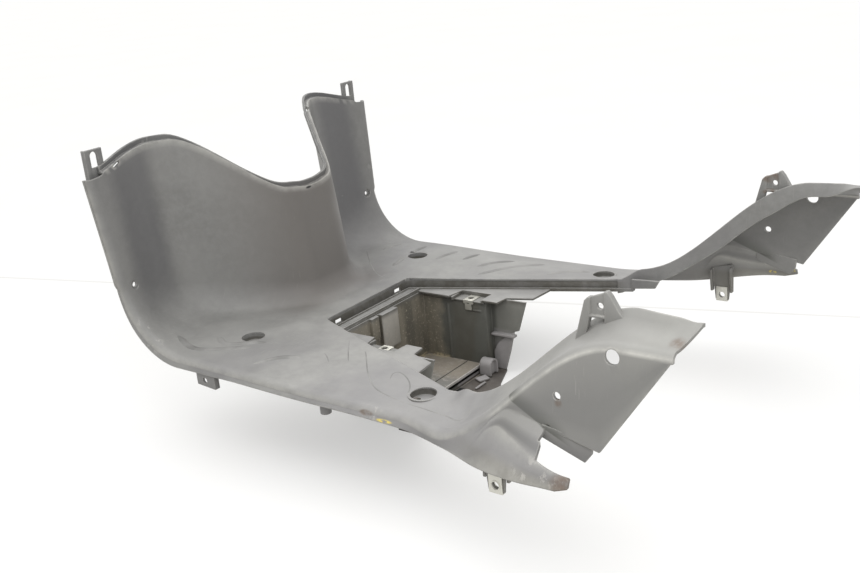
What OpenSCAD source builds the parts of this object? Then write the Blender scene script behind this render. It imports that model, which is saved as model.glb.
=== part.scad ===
// Scooter floorboard: one moulding with leg shield, footboard, opening with battery box and rear arms.
// Layout frame: x runs rearward from the rear foot recesses, z is height above the tread surface.
// The finished part is then set down with its origin at the middle of the sole plate behind the box floor.

/* [Moulding] */
// Thickness of the moulded skin
skin_t = 2.6; // [2.2:0.1:3.2]
// Distance of the outer face from the layout surface
skin_out = 2.4; // [0:0.2:3]
// Radius of the rolled outer edge
roll_r = 5; // [4:0.5:6]
// Depth of the side lip along the footboard
lip_h = 9.5; // [8:0.5:12]
// Depth of the side lip along the leg shield
shield_lip_h = 5; // [4:0.5:7]

/* [Leg shield] */
// Where the middle of the shield meets the tread level
shield_x = -240; // [-250:1:-232]
// How far the knee recesses lie ahead of the middle
knee_depth = 98; // [80:1:110]
// Half width of the flat crown of the middle bulge
knee_in = 19; // [14:1:24]
// Distance from the middle to the deepest line of the knee recess
knee_out = 127; // [115:1:140]
// How far the outer edge comes back towards the rider
edge_return = 8; // [4:1:14]
// Forward lean of the shield for each unit of height
shield_lean = 0.085; // [0.06:0.005:0.12]
// Extra lean of the middle bulge
bulge_lean = 0.03; // [0:0.005:0.06]
// Half width of the shield at its top
shield_half_w = 205; // [190:1:215]
// Height of the top edge at the middle
top_mid = 120.5; // [100:1:135]
// Rise of the top edge from the middle to the humps
top_rise = 66; // [50:1:80]
// Fall of the top edge from the humps to the outer corners
top_drop = 16; // [8:1:24]
// Height of the set-back flange above the top edge
flange_h = 7.5; // [5:0.5:10]
// Step from the face back to the flange
flange_step = 5.5; // [4:0.5:7]
// Radius of the bend between shield and footboard at the middle
bend_mid_r = 30; // [22:1:36]
// Radius of the same bend at the knees
bend_knee_r = 46; // [38:1:54]
// How much larger the bend radius is at the outer edge
bend_edge_add = 24; // [14:1:30]

/* [Footboard] */
// Half width of the footboard
floor_half_w = 196; // [186:1:204]
// Fall of the tread surface towards the side edge
floor_crown = 4; // [1:0.5:6]
// Rise of the footboard towards the leg shield
front_rise = 2.5; // [0:0.5:3]
// Distance of the rear foot recesses from the middle plane
recess_y = 162; // [158:1:166]
// Distance of the front foot recesses from the middle plane
recess_front_y = 135; // [125:1:145]
// Distance between the front and rear foot recesses
recess_pitch = 228; // [222:1:232]
// Diameter of a foot recess
recess_d = 23; // [18:0.5:26]
// Depth of a foot recess
recess_depth = 5; // [3.5:0.5:7]
// Screw hole in the bottom of each foot recess
recess_hole_d = 4.2; // [3:0.1:5.5]

/* [Opening] */
// Front edge of the opening
open_x = -192; // [-198:1:-188]
// Half width of the opening at its front edge
open_half_w = 67; // [60:1:72]
// Widening of the opening on each side for each unit of length
open_flare = 0.39; // [0.34:0.01:0.42]
// Depth of the wall around the opening
open_wall_h = 9; // [8:0.5:11]
// Depth of the ledge below the tread surface
ledge_drop = 6; // [5:0.5:7]
// Width of the ledge at the front of the opening
ledge_w = 13; // [11:0.5:15]
// Width of the ledge beside the opening
side_ledge_w = 3.5; // [2.5:0.5:5]
// Width of each window in the front wall of the opening
window_w = 11; // [8:0.5:14]
// Distance of the windows from the middle plane
window_y = 49; // [44:1:54]

/* [Battery box] */
// Half width of the box cavity
box_half_w = 70; // [68:0.5:74]
// Half width of the box cavity behind its step
box_rear_half_w = 80; // [76:1:84]
// Front of the box cavity
box_front_x = -174; // [-177:1:-170]
// Rear end of the box floor plate
box_floor_x = -98; // [-104:1:-92]
// Rear end of the box underside
box_rear_x = -78; // [-84:1:-72]
// Depth of the box floor below the tread surface
box_depth = 84; // [76:1:87]
// Depth of the box underside below the box floor
base_gap = 9; // [7:0.5:12]
// Wall of the battery box
box_t = 2.4; // [2:0.1:3]
// Height of the seats for the rim around the box
rim_drop = 8; // [7:0.5:9]

/* [Rear arms] */
// Where the arms start to rise
arm_x = 45; // [38:1:50]
// Where the arms have reached their full height
arm_top_x = 210; // [190:1:220]
// Tip of the arms
arm_tip_x = 254; // [244:1:262]
// Height of the arm crest at its root
arm_root_z = 10; // [6:0.5:14]
// Height of the arm crest at the tip
arm_top_z = 109; // [90:1:120]
// Distance of the arm crest from the middle plane
arm_y = 171; // [168:1:176]
// Distance of the crest at the tip
arm_tip_y = 182; // [178:1:188]
// How far the outer fold of the arm stands out from the footboard edge
fold_out = 12; // [8:1:16]
// Height of the lowest point of the arm panel
panel_low_z = 19; // [14:1:24]
// How much the rear edge of the panel leans back, in length for each unit of height
panel_rake = 0.69; // [0.6:0.01:0.76]
// Rear lower corner of the arm panel
panel_corner_x = 193; // [184:1:198]
// How far the side tongue stands out from the footboard edge at its tip
tongue_out = 44; // [38:1:50]
// Tip of the side tongue
tongue_tip_x = 180; // [172:1:186]
// End of the web between tongue and arm panel
web_end_x = 150; // [144:1:156]

/* [Fixings] */
// Width of the slotted tabs on top of the shield
top_tab_w = 20; // [17:0.5:24]
// Height of the slotted tabs
top_tab_h = 17; // [14:0.5:20]
// Width of their slots
top_slot_w = 6.5; // [5:0.5:8]
// Distance of the slotted tabs from the outer edge of the shield
top_tab_in = 17.5; // [15:0.5:21]
// Screw holes low in the leg shield
shield_hole_d = 4.5; // [3.5:0.5:6]
// Distance of these holes from the outer edge of the shield
shield_hole_in = 24; // [20:1:30]
// Height of these holes
shield_hole_z = 60; // [54:1:66]
// Place of the front lower tabs along the footboard
front_tab_x = -232; // [-236:1:-226]
// Screw hole in the front lower tabs
front_tab_hole_d = 6; // [4.5:0.5:7]
// Screw hole in the upper arm tabs
arm_tab_hole_d = 5; // [4:0.5:6]
// Place of the upper arm tabs
arm_tab_x = 177; // [174:1:180]
// Small screw hole in the arm panels
panel_hole_d = 6; // [4.5:0.5:7]
// Large hole in the arm panels
panel_big_d = 11; // [9:0.5:12]
// Hole in the plastic behind each clip nut
nut_hole_d = 7; // [6.5:0.5:8]

/* [Clip nuts] */
// Width of a clip nut
nut_w = 12; // [11:0.5:14]
// Length of a clip nut
nut_l = 15; // [14:0.5:17]
// Sheet thickness of a clip nut
nut_t = 0.8; // [0.6:0.1:1]
// Thread bore of a clip nut
nut_bore_d = 4.2; // [3.5:0.1:5]
// Clearance of a clip nut on each face of the plastic
nut_gap = 0.15; // [0.1:0.05:0.3]

/* [Hidden] */
$fn = 48;

// Depth of the box underside below the tread surface
base_depth = box_depth + base_gap;

// Outer fold, tongue and slotted tabs follow the edges that carry them
fold_y = floor_half_w + fold_out;
tongue_y = floor_half_w + tongue_out;
top_tab_y = shield_half_w - top_tab_in;
shield_hole_y = shield_half_w - shield_hole_in;
arm_tab_y = arm_y + 5.2;
arm_tab_z = arm_top_z + 1.8;

// Middle of the sole plate behind the box floor, measured in the layout frame
base_x = (box_floor_x - box_t + box_rear_x) / 2;

// Side clips sit on the tabs under the arms, well clips on the rim of the battery box
side_clip_x = 108;
side_clip_y = fold_y + 12;
side_clip_z = -26;
side_tab_t = 2.6;
well_clip_x = -113;
well_clip_y = 74.5;
well_seat_z = -12.5;

function smooth(a, b, v) = let (t = max(0, min(1, (v - a) / (b - a)))) t * t * (3 - 2 * t);
function mix(a, b, t) = a + (b - a) * t;
function opening_y(x) = open_half_w + open_flare * (x - open_x);

// Leg shield: plan curve, lean and top edge
function knee(y) = smooth(knee_in, knee_out, y);
function shield_line(y) = shield_x - knee_depth * knee(y)
    + edge_return * smooth(knee_out + 20, shield_half_w, y);
function lean(y) = shield_lean + bulge_lean * (1 - knee(y));
function shield_top(y) = top_mid + top_rise * smooth(24, 106, y) - top_drop * smooth(122, 202, y);
function bend_r(y) = mix(bend_mid_r, bend_knee_r, knee(y))
    + bend_edge_add * smooth(knee_out + 8, shield_half_w - 10, y);
function bend_centre_x(y) = shield_line(y) - lean(y) * bend_r(y) + bend_r(y) * sqrt(1 + pow(lean(y), 2));
function floor_z(y) = -floor_crown * smooth(140, floor_half_w, y);
function rise(x) = front_rise * smooth(-100, -250, x);

// Arms: crest, outer fold, panel and tongue as curves over x
function crest_z(x) = arm_root_z + (arm_top_z - arm_root_z) * smooth(arm_x, arm_top_x, x);
function crest_y(x) = min(opening_y(x) + 2, arm_y - 4 * (1 - smooth(60, 95, x)))
    + (arm_tip_y - arm_y) * smooth(165, arm_tip_x, x);
function fold_z(x) = -floor_crown + (arm_top_z - 12 + floor_crown) * smooth(arm_x - 5, arm_top_x - 5, x);
function side_y(x) = mix(floor_half_w, fold_y, smooth(0, arm_x + 15, x));
function tongue_low_y(x) = side_y(-50) + 3 + (tongue_y - floor_half_w - 3) * smooth(5, 155, x);
function tongue_low_z(x) = -lip_h - 3 - 1.5 * smooth(-60, 20, x) + 9.5 * smooth(70, 175, x);
root_x = 98;
function tongue_top_y(x) = mix(fold_y + 1, tongue_y - 5, smooth(root_x - 8, 175, x));
function tongue_top_z(x) = let (t = min(1, max(0, (x - root_x) / (tongue_tip_x - root_x))))
    mix(fold_z(root_x) - 2, 5.5, 1 - pow(1 - t, 1.6));
function panel_z(x) = let (top = fold_z(x) - roll_r - 1 + 0.6 * smooth(240, arm_tip_x, x))
    x < panel_corner_x ? min(top, mix(panel_low_z + 15, panel_low_z, (x - 113) / (panel_corner_x - 113)))
    : min(top, panel_low_z + (x - panel_corner_x) / panel_rake);

// One half of the section: index 0 is the middle plane, inner_n the opening edge, fold_n the side edge
inner_n = 5;
flat_n = 7;
fold_n = inner_n + flat_n;
half_n = fold_n + 6;
plan = [0, 0.24, 0.46, 0.68, 0.95, 1];
spread = [0, 0.13, 0.27, 0.42, 0.58, 0.75, 0.9, 1];

// Rows: 0 to 2 make the flange and its step, then the face, the bend, the footboard and the arms
face_n = 7;
bend_n = 6;
front_n = 3;
bend_row = 2 + face_n;
floor_row = bend_row + bend_n;
open_row = floor_row + front_n;
rear_x = [open_x, -150, -100, -50, 0, 22, 40, 50, 60, 70, 80, 90, root_x, 108, 119, 130, 140, web_end_x,
    160, 170, tongue_tip_x, panel_corner_x, 205, 218, 232, 244, arm_tip_x];
last_row = open_row + len(rear_x) - 1;
wall_row = open_row + 5;
web_end_row = open_row + 17;
tongue_row = open_row + 20;

// Distance from the middle plane of section point j in the front rows
function front_y(j, edge) = j <= inner_n ? plan[j] * open_half_w
    : mix(open_half_w, edge - roll_r, spread[j - inner_n]);

// Height, place and normal of the face and bend at distance y, for row i
function profile(i, y) =
    i <= 1 ? let (z = shield_top(y))
        [shield_line(y) - lean(y) * z - flange_step * flank(y), z + (i == 0 ? flange_h : 0), 0]
    : i <= bend_row ? let (z = mix(shield_top(y), bend_r(y) * (1 - sin(atan(lean(y)))), (i - 2) / face_n))
        [shield_line(y) - lean(y) * z, z, 0]
    : i <= floor_row ? let (a = mix(atan(lean(y)), 90, (i - bend_row) / bend_n))
        [bend_centre_x(y) - bend_r(y) * cos(a), bend_r(y) * (1 - sin(a)), (i - bend_row) / bend_n]
    : [mix(bend_centre_x(y), open_x, (i - floor_row) / front_n), 0, 1];
// The flange steps back square to the flank of the bulge, so it reaches further there
function flank(y) = 1 + 0.9 * smooth(35, 65, y) * (1 - smooth(85, 110, y));

function front_edge(i) = i > bend_row ? floor_half_w
    : mix(shield_half_w, floor_half_w + 2, max(0, i - 2) / face_n);
function front_lip(i) = mix(shield_lip_h, lip_h, smooth(bend_row - 2, floor_row, i));
function front_point(i, j) =
    let (edge = front_edge(i),
        y = j <= fold_n ? front_y(j, edge) : edge - roll_r,
        p = profile(i, y),
        a = max(0, min(2, j - fold_n)) * 45,
        down = j <= fold_n + 2 ? roll_r * (1 - cos(a)) : mix(roll_r, front_lip(i), (j - fold_n - 2) / 4),
        out = j <= fold_n ? 0 : roll_r * sin(a) + (j > fold_n + 2 ? (j - fold_n - 2) * 0.6 : 0),
        turn = p[2] * 90)
    [p[0] - down * cos(turn), y + out, p[1] + p[2] * (floor_z(y) + rise(p[0])) - down * sin(turn)];

// Section points of the footboard strips and the arms, for the row at x
function arm_flat(x, t) =
    let (inner_y = x < arm_x - 8 ? opening_y(x) : crest_y(x),
        lift = smooth(22, arm_x + 2, x),
        steep = mix(2.4, 3.2, smooth(60, 140, x)),
        y = mix(inner_y, side_y(x) - roll_r, t),
        low = fold_z(x) + (t < 1 ? (floor_z(y) - fold_z(x)) * (1 - smooth(30, 70, x)) : 0))
    [x - 9 * t * smooth(205, arm_tip_x, x), y, low + (crest_z(x) - low) * lift * pow(1 - t, steep)];
function arm_point(x, j) =
    let (e = arm_flat(x, 1), drop = mix(12, 17, smooth(90, 135, x)) - 8 * smooth(175, 215, x))
    j < inner_n - 1 ? [x, plan[j] * open_half_w, 0]
    : j == inner_n - 1 ? arm_flat(x, 0) - [0, 2.5 * smooth(40, 80, x) + 0.2, drop]
    : j <= fold_n ? arm_flat(x, spread[j - inner_n])
    : let (a = min(2, j - fold_n) * 45,
        fold = e + [0, roll_r * sin(a), -roll_r * (1 - cos(a))],
        side = e + [0, roll_r, -roll_r],
        low = [x, tongue_low_y(x), tongue_low_z(x)],
        pz = panel_z(x),
        panel = [min(x, panel_corner_x + panel_rake * (pz - panel_low_z)), side[1] + 0.09 * (side[2] - pz), pz],
        top = [x, tongue_top_y(x), tongue_top_z(x)],
        near = mix(side, low, 0.25),
        k = smooth(80, 112, x))
    j <= fold_n + 2 ? fold
    : j == fold_n + 3 ? mix(near, panel, k)
    : j == fold_n + 4 ? mix(mix(side, low, 0.5), mix(panel, top, 0.5) + [0, 1.5, 1], k)
    : j == fold_n + 5 ? mix(mix(side, low, 0.75), top, k)
    : low;

function half_point(i, j) = i <= open_row - 1 ? front_point(i, j)
    : let (x = rear_x[i - open_row]) arm_point(x, j) + [0, 0, rise(x)];
function whole_point(i, c) = let (p = half_point(i, abs(c - half_n))) c < half_n ? [p[0], -p[1], p[2]] : p;
cols = 2 * half_n;

// Which cells of the sheet exist: none across the opening, none between tongue and panel at the rear
function cell_on(i, c) =
    let (h = c < half_n ? half_n - 1 - c : c - half_n)
    i < 0 || i >= last_row || c < 0 || c >= cols ? false
    : i < 2 ? h < fold_n - 1
    : i < open_row ? true
    : h < inner_n - 1 ? false
    : h == inner_n - 1 ? i >= wall_row
    : h < fold_n + 3 ? true
    : h < fold_n + 5 ? i < web_end_row
    : h < half_n ? i < tongue_row
    : false;

function unit(v) = v / max(norm(v), 1e-9);
function cell_normal(g, i, c) = unit(cross(g[i + 1][c] - g[i][c + 1], g[i + 1][c + 1] - g[i][c]));

// Offsets every point of the sheet so that the wall keeps its thickness at folds
function inner_side(g, t) = [for (i = [0 : last_row]) [for (c = [0 : cols])
    let (ns = [for (di = [-1, 0], dc = [-1, 0]) if (cell_on(i + di, c + dc)) cell_normal(g, i + di, c + dc)],
        n = unit(total(ns)),
        f = len(ns) == 0 ? 1 : total([for (q = ns) n * q]) / len(ns))
    len(ns) == 0 ? g[i][c] : g[i][c] - n * t / max(f, 0.6)]];
function total(v) = len(v) == 0 ? [0, 0, 1] : len(v) == 1 ? v[0]
    : v[0] + total([for (k = [1 : len(v) - 1]) v[k]]);

module sheet() {
    layout = [for (i = [0 : last_row]) [for (c = [0 : cols]) whole_point(i, c)]];
    g = inner_side(layout, -skin_out);
    b = inner_side(layout, skin_t - skin_out);
    w = cols + 1;
    n = (last_row + 1) * w;
    faces = [for (i = [0 : last_row - 1], c = [0 : cols - 1]) if (cell_on(i, c))
        let (p = i * w + c, q = p + 1, r = p + w, s = r + 1)
        each concat(
            [[p, q, s], [p, s, r], [p + n, s + n, q + n], [p + n, r + n, s + n]],
            cell_on(i - 1, c) ? [] : [[q, p, p + n], [q, p + n, q + n]],
            cell_on(i + 1, c) ? [] : [[r, s, s + n], [r, s + n, r + n]],
            cell_on(i, c - 1) ? [] : [[p, r, r + n], [p, r + n, p + n]],
            cell_on(i, c + 1) ? [] : [[s, q, q + n], [s, q + n, s + n]])];
    polyhedron([for (row = concat(g, b), pt = row) pt], faces, 10);
}

// Plates: x_plate stands square to x with its outline in (y, z), y_plate square to y with its outline in (x, z)
module x_plate(x, thick, pts) {
    translate([x, 0, 0]) rotate([90, 0, 90]) linear_extrude(thick) polygon(pts);
}
module y_plate(y, thick, pts) {
    translate([0, y + thick, 0]) rotate([90, 0, 0]) linear_extrude(thick) polygon(pts);
}
module z_plate(z, thick, pts) {
    translate([0, 0, z]) linear_extrude(thick) polygon(pts);
}
module block(low, high) {
    translate(low) cube(high - low);
}
module both() {
    children();
    mirror([0, 1, 0]) children();
}

// Band of a given width that follows the front and the sides of the opening, moved in by a distance
function u_path(inset, end_x) = let (side = inset * 1.07)
    [[end_x, -opening_y(end_x) + side], [open_x + inset, -opening_y(open_x + inset) + side],
    [open_x + inset, opening_y(open_x + inset) - side], [end_x, opening_y(end_x) - side]];
module u_band(z, thick, out, in, end_x) {
    a = u_path(out, end_x);
    b = u_path(in, end_x);
    z_plate(z, thick, [a[0], a[1], a[2], a[3], b[3], b[2], b[1], b[0]]);
}

module opening_rim() {
    u_band(-open_wall_h - 1, open_wall_h + 3.1, -2.7, -0.3, 27);
    u_band(-rim_drop - 2.2, 2.2, -1.5, side_ledge_w, 38);
    near = open_half_w - 3;
    far = open_half_w + 2;
    ledge_x = open_x + ledge_w;
    z_plate(-rim_drop - 2.2, 2.2, [[open_x - 1, -near], [ledge_x, -far], [ledge_x, far], [open_x - 1, near]]);
    u_band(-rim_drop - 0.5, 2.3, side_ledge_w - 1, side_ledge_w + 0.2, 38);
}

// Seats around the box: front shelf, stepped nut seat, middle shelf and the wide shelf at the rear
module box_rim() {
    z = -rim_drop - 2.2;
    both() {
        z_plate(z + 0.2, 2.3, [[-180, 63], [-134, 63], [-130, 84], [-93, 84], [-93, 65], [-74, 65], [-72, 81],
            [-45, 90], [-42, opening_y(-42) - 1], [-180, opening_y(-180) - 1]]);
        block([-132, 68.8, well_seat_z - 2.2], [-95, 86.2, well_seat_z]);
        block([-131, 84, well_seat_z - 1], [-94, 86.4, z + 1]);
        block([-133, 65, well_seat_z - 1], [-130.8, 86, z + 1]);
        block([-96, 67, well_seat_z - 1], [-93.8, 86, z + 1]);
    }
}

module battery_box() {
    low = -base_depth;
    top = -rim_drop - 1.5;
    w = box_half_w;
    v = box_rear_half_w;
    step_x = -94.4;
    both() {
        block([box_front_x - 1, w, low], [step_x + 1, w + box_t, top]);
        y_plate(v, box_t, [[step_x + 1, top], [-48, top], [-59, -43], [-65, -45], [-71, -68],
            [box_rear_x - 1, low + 0.5], [step_x + 1, low + 0.5]]);
        block([step_x, w + 0.5, low + 0.5], [step_x + box_t, v + 2, top]);
        block([-90, v - 6, -50], [-62, v + 1, -47.4]);
        block([box_floor_x, w - 14, low + 1], [box_floor_x + 14, w - 2, -box_depth + 4]);
        translate([box_floor_x, w - 8, -box_depth + 4]) rotate([0, 90, 0]) cylinder(h = 14, d = 12);
    }
    block([box_front_x - box_t, -w - 2, low], [box_front_x, w + 2, top]);
    block([box_floor_x - box_t, -v - 2, low], [box_rear_x, v + 2, low + box_t]);
    block([box_front_x - 1, -24, -34], [box_front_x + 4, -12, top]);
    block([box_front_x - 1, -9, -50], [box_front_x + 6, 17, top]);
    block([box_front_x - 1, -w - 1, -box_depth - 2.4], [box_floor_x, w + 1, -box_depth]);
    block([box_floor_x - box_t, -w - 1, low + 1], [box_floor_x, w + 1, -box_depth + 1.2]);
}

// Slotted tab on top of the shield, as a plate with two sides and a round top
module top_tab() {
    y = top_tab_y;
    h = shield_top(y) + flange_h;
    x = shield_line(y) - lean(y) * h - flange_step - 3;
    difference() {
        union() {
            block([x, y - top_tab_w / 2, h - 16], [x + 3, y + top_tab_w / 2, h + top_tab_h]);
            block([x - 6, y + top_tab_w / 2 - 2.4, h - 16], [x + 1, y + top_tab_w / 2, h + top_tab_h]);
            block([x + 2, y - top_tab_w / 2, h - 16], [x + 7, y + top_tab_w / 2, h - 13]);
        }
        translate([x - 1, y, h + 12]) rotate([0, 90, 0]) cylinder(h = 6, d = top_slot_w);
        block([x - 1, y - top_slot_w / 2, h + 1], [x + 5, y + top_slot_w / 2, h + 12]);
    }
}

// Tab below the front of the footboard, on the inner face of the lip
module front_tab() {
    x = front_tab_x;
    y = floor_half_w + 0.6;
    difference() {
        union() {
            y_plate(y, 2.6, [[x - 11, -8], [x - 11, -22], [x + 13, -24], [x + 13, -8]]);
            block([x + 10.6, y - 7.6, -24], [x + 13, y + 2.4, -7]);
        }
        translate([x, y - 6, -16.8]) rotate([-90, 0, 0]) cylinder(h = 12, d = front_tab_hole_d);
    }
}

module side_tab() {
    y = side_clip_y;
    difference() {
        union() {
            y_plate(y - side_tab_t / 2, side_tab_t, [[97.5, 4], [118.7, 8], [115, -31.5], [101, -31.5]]);
            x_plate(96.5, 2.4, [[y - 7, 2], [y + 1, 2], [y + 1, -22], [y - 4, -22]]);
            x_plate(117.4, 2.4, [[y - 7, 6], [y + 1, 6], [y + 1, -22], [y - 4, -22]]);
        }
        translate([side_clip_x, y - 10, side_clip_z]) rotate([-90, 0, 0]) cylinder(h = 20, d = nut_hole_d);
    }
}

// Upright tab on the arm crest: a thin web with the hole, between a thicker front leg and a rear gusset
module arm_tab() {
    x = arm_tab_x;
    y = arm_tab_y;
    z = arm_tab_z;
    difference() {
        union() {
            y_plate(y - 1.2, 2.4, [[x - 11, z - 9], [x + 6, z - 9], [x + 6, z + 11], [x - 10, z + 5]]);
            y_plate(y - 2.6, 5.2, [[x - 21, z - 29.5], [x - 12, z + 3], [x - 9.5, z + 5.5], [x - 7, z + 6],
                [x - 8, z - 8], [x - 12, z - 23.5]]);
            y_plate(y - 2.6, 5.2, [[x + 3.5, z - 13], [x + 3.5, z + 11], [x + 6, z + 11.6], [x + 9, z + 8],
                [x + 16, z - 4], [x + 19, z - 6]]);
            block([x - 9, y - 2.6, z - 9], [x + 4, y + 2.6, z - 7]);
        }
        translate([x, y - 5, z]) rotate([-90, 0, 0]) cylinder(h = 10, d = arm_tab_hole_d);
    }
}

// Folded strip along the lower edge of the arm panel
module panel_strip() {
    y = fold_y + 4.4;
    y_plate(y, 2.4, [[151, 30], [187, 24], [187, 19], [181, 9.4], [152, 23.5]]);
}

module recess_cup(x, y) {
    difference() {
        translate([x, y, rise(x) - recess_depth - 2.4]) cylinder(h = recess_depth + 3.4, d = recess_d + 4);
        foot_recess(x, y);
    }
}

module foot_recess(x, y) {
    translate([x, y, rise(x) - recess_depth]) cylinder(h = recess_depth + 5, d = recess_d);
    translate([x - recess_d / 2 + 5.5, y, -12]) cylinder(h = 10, d = recess_hole_d);
}

module floorboard() {
    color("#5c5c58") difference() {
        union() {
            sheet();
            opening_rim();
            box_rim();
            battery_box();
            both() {
                top_tab();
                front_tab();
                side_tab();
                arm_tab();
                panel_strip();
                recess_cup(0, recess_y);
                recess_cup(-recess_pitch, recess_front_y);
                translate([-88, floor_half_w - 6, -23]) cylinder(h = 19.4, d = 10);
            }
        }
        both() {
            foot_recess(0, recess_y);
            foot_recess(-recess_pitch, recess_front_y);
            translate([shield_line(shield_hole_y) - 25, shield_hole_y, shield_hole_z]) rotate([0, 90, 0])
                cylinder(h = 50, d = shield_hole_d);
            translate([159, fold_y - 13, 53.3]) rotate([-90, 0, 0]) cylinder(h = 30, d = panel_hole_d);
            translate([202, fold_y - 13, 89.6]) rotate([-90, 0, 0]) cylinder(h = 30, d = panel_big_d);
            translate([well_clip_x, well_clip_y, well_seat_z - 5]) cylinder(h = 8, d = nut_hole_d);
            block([-130.8, 60, well_seat_z], [-96, 84, -4]);
            block([well_clip_x - nut_w / 2 - 1, 60, well_seat_z - 8],
                [well_clip_x + nut_w / 2 + 1, 90, well_seat_z - 2.2]);
            block([open_x - 6, window_y - window_w / 2, -7.4], [open_x + 1, window_y + window_w / 2, -3]);
        }
    }
}

// A clip nut folded round a plate: upper leaf, bend at the front, lower leaf with the threaded collar
module clip_nut(plate_t) {
    gap = plate_t / 2 + nut_gap;
    difference() {
        union() {
            block([-nut_l + 6, -nut_w / 2, gap], [6 + nut_t, nut_w / 2, gap + nut_t]);
            block([-nut_l + 6, -nut_w / 2, -gap - nut_t], [6 + nut_t, nut_w / 2, -gap]);
            block([6, -nut_w / 2, -gap - nut_t], [6 + nut_t, nut_w / 2, gap + nut_t]);
            translate([0, 0, -gap - nut_t - 2.6]) cylinder(h = 3, d = nut_bore_d + 2.4);
        }
        translate([0, 0, -gap - 6]) cylinder(h = 2 * gap + 12, d = nut_bore_d);
    }
}

module well_clip() {
    color("#b9b7ae") translate([well_clip_x, well_clip_y, well_seat_z - 1.1]) rotate([0, 0, -90]) {
        clip_nut(2.2);
        block([6, -4, -9], [6 + nut_t, 4, -1]);
    }
}

module side_clip() {
    color("#b9b7ae") translate([side_clip_x, side_clip_y, side_clip_z])
        rotate([0, 90, 0]) rotate([90, 0, 0]) clip_nut(side_tab_t);
}

module set_down() {
    translate([-base_x, 0, base_depth]) children();
}

set_down() floorboard();
set_down() mirror([0, 1, 0]) well_clip();  // well_clip_left
set_down() well_clip();  // well_clip_right
set_down() mirror([0, 1, 0]) side_clip();  // side_clip_left
set_down() side_clip();  // side_clip_right
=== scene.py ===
import math

import bmesh
import bpy
import numpy as np
from mathutils import Matrix, Vector
from mathutils.bvhtree import BVHTree
from mathutils.kdtree import KDTree


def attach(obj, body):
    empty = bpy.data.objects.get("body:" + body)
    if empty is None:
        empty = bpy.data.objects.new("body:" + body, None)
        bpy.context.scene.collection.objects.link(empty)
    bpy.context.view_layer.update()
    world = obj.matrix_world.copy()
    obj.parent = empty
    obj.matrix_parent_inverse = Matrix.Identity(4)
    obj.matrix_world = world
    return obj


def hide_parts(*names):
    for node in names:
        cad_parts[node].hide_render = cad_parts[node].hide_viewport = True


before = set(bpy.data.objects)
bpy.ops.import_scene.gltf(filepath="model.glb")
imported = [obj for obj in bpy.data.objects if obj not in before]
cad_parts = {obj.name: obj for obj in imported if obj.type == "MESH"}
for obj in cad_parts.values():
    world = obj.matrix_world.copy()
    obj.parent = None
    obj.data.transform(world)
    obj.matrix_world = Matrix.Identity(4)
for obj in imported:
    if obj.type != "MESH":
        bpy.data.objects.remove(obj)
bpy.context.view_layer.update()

# Lengths are in mm in the layout frame: x rearward from the rear foot recesses, z up from the tread.
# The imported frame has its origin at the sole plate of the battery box.
BASE = np.array([89.2, 0.0, 93.0])

# Sizes, as in the part's source
skin_t, skin_out, roll_r, lip_h, shield_lip_h = 2.6, 2.4, 5.0, 9.5, 5.0
shield_x, knee_depth, knee_in, knee_out, edge_return = -240.0, 98.0, 19.0, 127.0, 8.0
shield_lean, bulge_lean, shield_half_w = 0.085, 0.03, 205.0
top_mid, top_rise, top_drop, flange_h, flange_step = 120.5, 66.0, 16.0, 7.5, 5.5
bend_mid_r, bend_knee_r, bend_edge_add, front_rise = 30.0, 46.0, 24.0, 2.5
floor_half_w, floor_crown = 196.0, 4.0
open_x, open_half_w, open_flare, open_wall_h = -192.0, 67.0, 0.39, 9.0
arm_x, arm_top_x, arm_tip_x, arm_root_z, arm_top_z = 45.0, 210.0, 254.0, 10.0, 109.0
arm_y, arm_tip_y, fold_y = 171.0, 182.0, 208.0
panel_low_z, panel_rake, panel_corner_x = 19.0, 0.69, 193.0
tongue_y, tongue_tip_x, web_end_x, root_x = 240.0, 180.0, 150.0, 98.0


def smooth(a, b, v):
    t = min(1.0, max(0.0, (v - a) / (b - a)))
    return t * t * (3 - 2 * t)


def mix(a, b, t):
    return a + (b - a) * t


def opening_y(x):
    return open_half_w + open_flare * (x - open_x)


# Leg shield and bend
def knee(y):
    return smooth(knee_in, knee_out, y)


def shield_line(y):
    return shield_x - knee_depth * knee(y) + edge_return * smooth(knee_out + 20, shield_half_w, y)


def lean(y):
    return shield_lean + bulge_lean * (1 - knee(y))


def shield_top(y):
    turn = 3 * math.exp(-((y - 26) / 11) ** 2)
    return top_mid + top_rise * smooth(24, 106, y) + turn - top_drop * smooth(122, 202, y)


def bend_r(y):
    return mix(bend_mid_r, bend_knee_r, knee(y)) + bend_edge_add * smooth(knee_out + 8, shield_half_w - 10, y)


def bend_centre_x(y):
    return shield_line(y) - lean(y) * bend_r(y) + bend_r(y) * math.sqrt(1 + lean(y) ** 2)


def floor_z(y):
    return -floor_crown * smooth(140, floor_half_w, y)


def rise(x):
    return front_rise * smooth(-100, -250, x)


def flank(y):
    return 1 + 0.9 * smooth(35, 65, y) * (1 - smooth(85, 110, y))


# Arms
def crest_z(x):
    return arm_root_z + (arm_top_z - arm_root_z) * smooth(arm_x, arm_top_x, x)


def crest_y(x):
    inner = min(opening_y(x) + 2, arm_y - 4 * (1 - smooth(60, 95, x)))
    return inner + (arm_tip_y - arm_y) * smooth(165, arm_tip_x, x)


def fold_z(x):
    return -floor_crown + (arm_top_z - 12 + floor_crown) * smooth(arm_x - 5, arm_top_x - 5, x)


def side_y(x):
    return mix(floor_half_w, fold_y, smooth(0, arm_x + 15, x))


def tongue_low_y(x):
    return side_y(-50) + 3 + (tongue_y - floor_half_w - 3) * smooth(5, 155, x)


def tongue_low_z(x):
    return -lip_h - 3 - 1.5 * smooth(-60, 20, x) + 9.5 * smooth(70, 175, x)


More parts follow.
